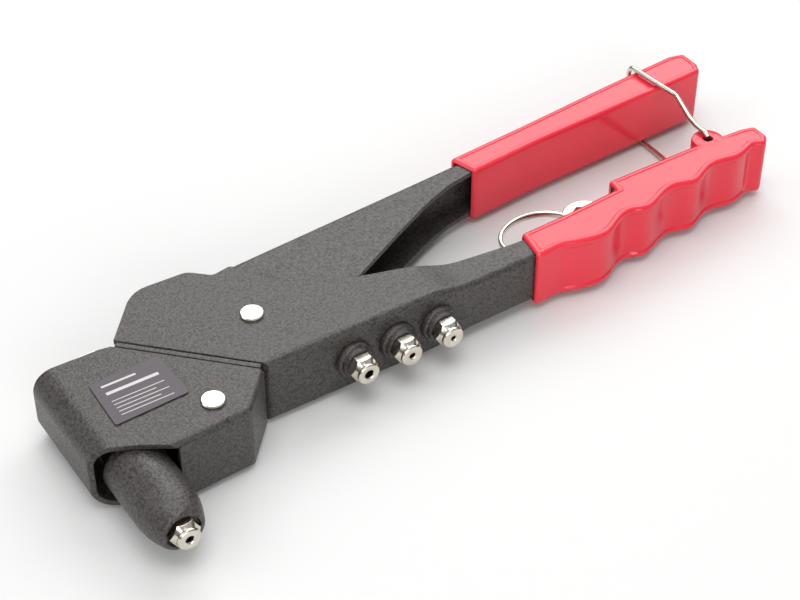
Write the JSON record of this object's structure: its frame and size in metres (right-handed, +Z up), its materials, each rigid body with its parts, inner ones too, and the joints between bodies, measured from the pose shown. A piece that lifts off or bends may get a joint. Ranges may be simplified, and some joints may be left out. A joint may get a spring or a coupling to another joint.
{
  "type": "hand riveter",
  "caption": "Swivel-head hand riveter with plier handles closed by a wire latch, a rivet nose at right angles to the hub, and spare nosepieces stored along the body.",
  "frame": {"origin": "centre of the rear head of the main pivot rivet, on its flat face, with the tool lying on its side", "axes": "+X along the hub towards the grips, +Z up through the main pivot, nose pointing to -Y"},
  "size_m": [0.2891, 0.1149, 0.0274],
  "materials": {
    "coat": "black wrinkle powder coat",
    "nickel": "bright nickel plate",
    "steel": "oiled machined steel",
    "vinyl": "red dipped vinyl, satin gloss",
    "label": "grey metallic foil label"
  },
  "bodies": {
    "fixed_body": {"body_channel": "coat", "hub_end_plate": "coat", "swivel_spindle": "steel", "spindle_nut": "steel", "main_pivot_rivet": "nickel", "lower_grip": "vinyl", "store_bush_1": "coat", "store_bush_2": "coat", "store_bush_3": "coat"},
    "moving_handle": {"handle_channel": "coat", "upper_grip": "vinyl", "link_pin": "steel"},
    "latch": {"latch_bail": "nickel"},
    "pull_rod": {"pull_rod": "steel", "pull_link": "steel", "clevis_pin": "steel"},
    "head": {"head_shell": "coat", "head_base_plate": "steel", "head_barrel": "coat", "rear_cover": "nickel", "label_plate": "label", "rocker_rivet": "nickel", "return_spring": "steel"},
    "rocker": {"rocker": "steel"},
    "jaw_train": {"jaw_case": "steel", "pull_collar": "steel", "jaw_upper": "steel", "jaw_lower": "steel", "jaw_pusher": "steel", "pusher_spring": "steel"},
    "nosepiece_fitted": {"nosepiece_fitted": "nickel"},
    "nosepiece_stored_1": {"nosepiece_stored_1": "nickel"},
    "nosepiece_stored_2": {"nosepiece_stored_2": "nickel"},
    "nosepiece_stored_3": {"nosepiece_stored_3": "nickel"},
    "wrench": {"nosepiece_wrench": "nickel"}
  },
  "joints": [
    {"name": "handle_pivot", "type": "hinge", "parent": "fixed_body", "child": "moving_handle", "pos_m": [0, 0, 0.0137], "axis": [0, 0, 1], "range_deg": [0, 40]},
    {"name": "pull_rod_slide", "type": "slide", "parent": "fixed_body", "child": "pull_rod", "axis": [-0.7071, -0.7071, 0], "range_m": [-0.00002, 0.00515]},
    {"name": "latch_swing", "type": "hinge", "parent": "moving_handle", "child": "latch", "pos_m": [0.1912, 0.048, 0.0137], "axis": [0, 0, 1], "range_deg": [0, 110]},
    {"name": "head_swivel", "type": "hinge", "parent": "fixed_body", "child": "head", "pos_m": [-0.02685, -0.00695, 0.0137], "axis": [-0.7071, -0.7071, 0], "continuous": true},
    {"name": "rocker_pivot", "type": "hinge", "parent": "head", "child": "rocker", "pos_m": [-0.0301, -0.0292, 0.0137], "axis": [0, 0, 1], "range_deg": [-0.05, 22.06]},
    {"name": "jaw_slide", "type": "slide", "parent": "head", "child": "jaw_train", "axis": [0, -1, 0], "range_m": [-0.00002, 0.0109], "deforming": ["return_spring"]},
    {"name": "nosepiece_fitted_out", "type": "slide", "parent": "head", "child": "nosepiece_fitted", "axis": [0, -1, 0], "range_m": [0, 0.012]},
    {"name": "nosepiece_stored_1_out", "type": "slide", "parent": "fixed_body", "child": "nosepiece_stored_1", "axis": [0, -1, 0], "range_m": [0, 0.012]},
    {"name": "nosepiece_stored_2_out", "type": "slide", "parent": "fixed_body", "child": "nosepiece_stored_2", "axis": [0, -1, 0], "range_m": [0, 0.012]},
    {"name": "nosepiece_stored_3_out", "type": "slide", "parent": "fixed_body", "child": "nosepiece_stored_3", "axis": [0, -1, 0], "range_m": [0, 0.012]},
    {"name": "wrench_out", "type": "slide", "parent": "fixed_body", "child": "wrench", "axis": [0, 1, 0], "range_m": [0, 0.014]}
  ],
  "couplings": [
    {"joint": "pull_rod_slide", "follows": "handle_pivot", "m_per_rad": 0.007349},
    {"joint": "rocker_pivot", "follows": "handle_pivot", "ratio": 0.55035},
    {"joint": "jaw_slide", "follows": "handle_pivot", "m_per_rad": 0.015589}
  ]
}
